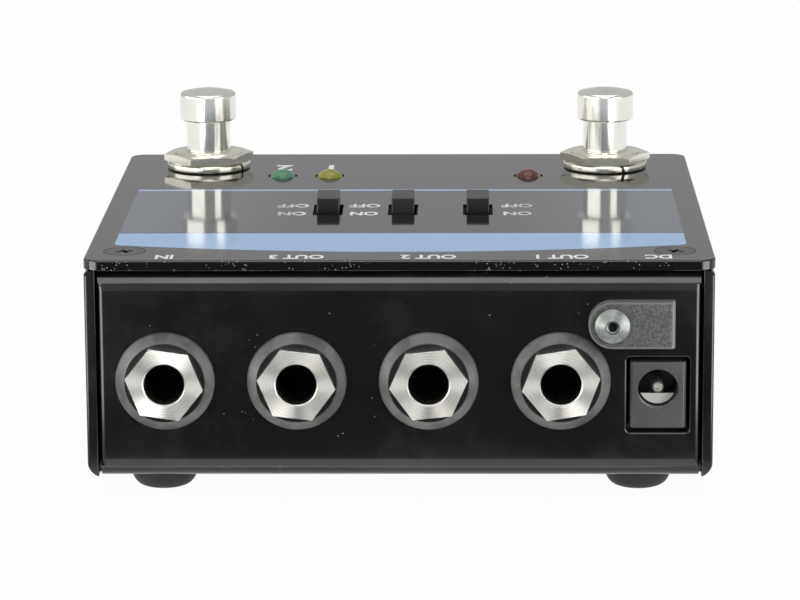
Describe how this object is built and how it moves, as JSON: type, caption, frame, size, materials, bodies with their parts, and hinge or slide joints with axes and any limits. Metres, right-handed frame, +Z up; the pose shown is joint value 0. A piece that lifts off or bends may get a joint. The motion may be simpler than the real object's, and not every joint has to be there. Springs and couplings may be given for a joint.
{
  "type": "aby switch pedal",
  "caption": "Foot-operated signal switch pedal in a folded steel case, with footswitches, slide switches, indicator lamps, jack sockets and a power socket on its rear panel.",
  "frame": {"origin": "centre of the bounding box's underside, on the surface that the feet stand on", "axes": "+X to the right when facing the jack panel, +Y from the jack panel to the user's side, +Z up"},
  "size_m": [0.1016, 0.0972, 0.0543],
  "materials": {
    "black_enamel": "gloss black baked enamel with fine dust marks",
    "plate_enamel": "very smooth gloss black enamel",
    "black_screw": "black oxide steel",
    "zinc_plate": "zinc plated steel",
    "foot_rubber": "matt black rubber",
    "black_nylon": "moulded black nylon",
    "washer_plastic": "gloss black plastic",
    "bright_nickel": "bright nickel plate, turned face",
    "contact_bronze": "tinned phosphor bronze",
    "socket_plastic": "moulded black plastic",
    "contact_nickel": "nickel plated contacts",
    "clamp_nylon": "grained black nylon",
    "clamp_screw_zinc": "dark zinc plate",
    "board_laminate": "green solder mask on glass laminate",
    "transformer_steel": "dark core and tape",
    "header_plastic": "black header strip with gilt pins",
    "satin_nickel": "satin nickel plate",
    "cap_chrome": "satin chrome plate",
    "switch_plastic": "blue moulded plastic",
    "lug_board": "brown laminate with tinned lugs",
    "knob_plastic": "moulded black acetal",
    "green_lens": "tinted epoxy lens",
    "yellow_lens": "tinted epoxy lens",
    "red_lens": "tinted epoxy lens"
  },
  "bodies": {
    "case": {"base_tray": "black_enamel", "top_plate": "plate_enamel", "cover_screws": "black_screw", "cover_nuts": "zinc_plate", "plate_hook": "zinc_plate", "main_board_standoffs": "zinc_plate", "switch_board_standoffs": "zinc_plate", "board_screws": "zinc_plate", "clamp_nut": "zinc_plate", "rubber_feet": "foot_rubber", "input_jack_body": "black_nylon", "input_jack_washer": "washer_plastic", "input_jack_nut": "bright_nickel", "tuner_jack_body": "black_nylon", "tuner_jack_washer": "washer_plastic", "tuner_jack_nut": "bright_nickel", "output_b_jack_body": "black_nylon", "output_b_jack_washer": "washer_plastic", "output_b_jack_nut": "bright_nickel", "output_a_jack_body": "black_nylon", "output_a_jack_washer": "washer_plastic", "output_a_jack_nut": "bright_nickel", "jack_contacts": "contact_bronze", "dc_sleeve_contact": "contact_bronze", "dc_socket_body": "socket_plastic", "dc_pin": "contact_nickel", "lamp_leads": "contact_nickel", "slide_switch_terminals": "contact_nickel", "cable_clamp": "clamp_nylon", "clamp_screw": "clamp_screw_zinc", "main_board": "board_laminate", "switch_board": "board_laminate", "isolation_transformer": "transformer_steel", "board_link": "header_plastic", "left_footswitch_frame": "satin_nickel", "left_footswitch_nut": "satin_nickel", "left_footswitch_washer": "satin_nickel", "left_footswitch_housing": "switch_plastic", "left_footswitch_terminals": "lug_board", "right_footswitch_frame": "satin_nickel", "right_footswitch_nut": "satin_nickel", "right_footswitch_washer": "satin_nickel", "right_footswitch_housing": "switch_plastic", "right_footswitch_terminals": "lug_board", "footswitch_back_nuts": "satin_nickel", "left_slide_frame": "zinc_plate", "middle_slide_frame": "zinc_plate", "right_slide_frame": "zinc_plate", "green_lamp": "green_lens", "yellow_lamp": "yellow_lens", "red_lamp": "red_lens"},
    "left_button": {"left_footswitch_plunger": "cap_chrome"},
    "right_button": {"right_footswitch_plunger": "cap_chrome"},
    "left_slider": {"left_slide_knob": "knob_plastic"},
    "middle_slider": {"middle_slide_knob": "knob_plastic"},
    "right_slider": {"right_slide_knob": "knob_plastic"}
  },
  "joints": [
    {"name": "left_footswitch_press", "type": "slide", "parent": "case", "child": "left_button", "axis": [0, 0, -1], "range_m": [0, 0.0023], "stiffness_N_per_m": 4000, "springref_m": -0.002},
    {"name": "right_footswitch_press", "type": "slide", "parent": "case", "child": "right_button", "axis": [0, 0, -1], "range_m": [0, 0.0023], "stiffness_N_per_m": 4000, "springref_m": -0.002},
    {"name": "left_slide_throw", "type": "slide", "parent": "case", "child": "left_slider", "axis": [0, -1, 0], "range_m": [0, 0.0025]},
    {"name": "middle_slide_throw", "type": "slide", "parent": "case", "child": "middle_slider", "axis": [0, -1, 0], "range_m": [0, 0.0025]},
    {"name": "right_slide_throw", "type": "slide", "parent": "case", "child": "right_slider", "axis": [0, -1, 0], "range_m": [0, 0.0025]}
  ]
}
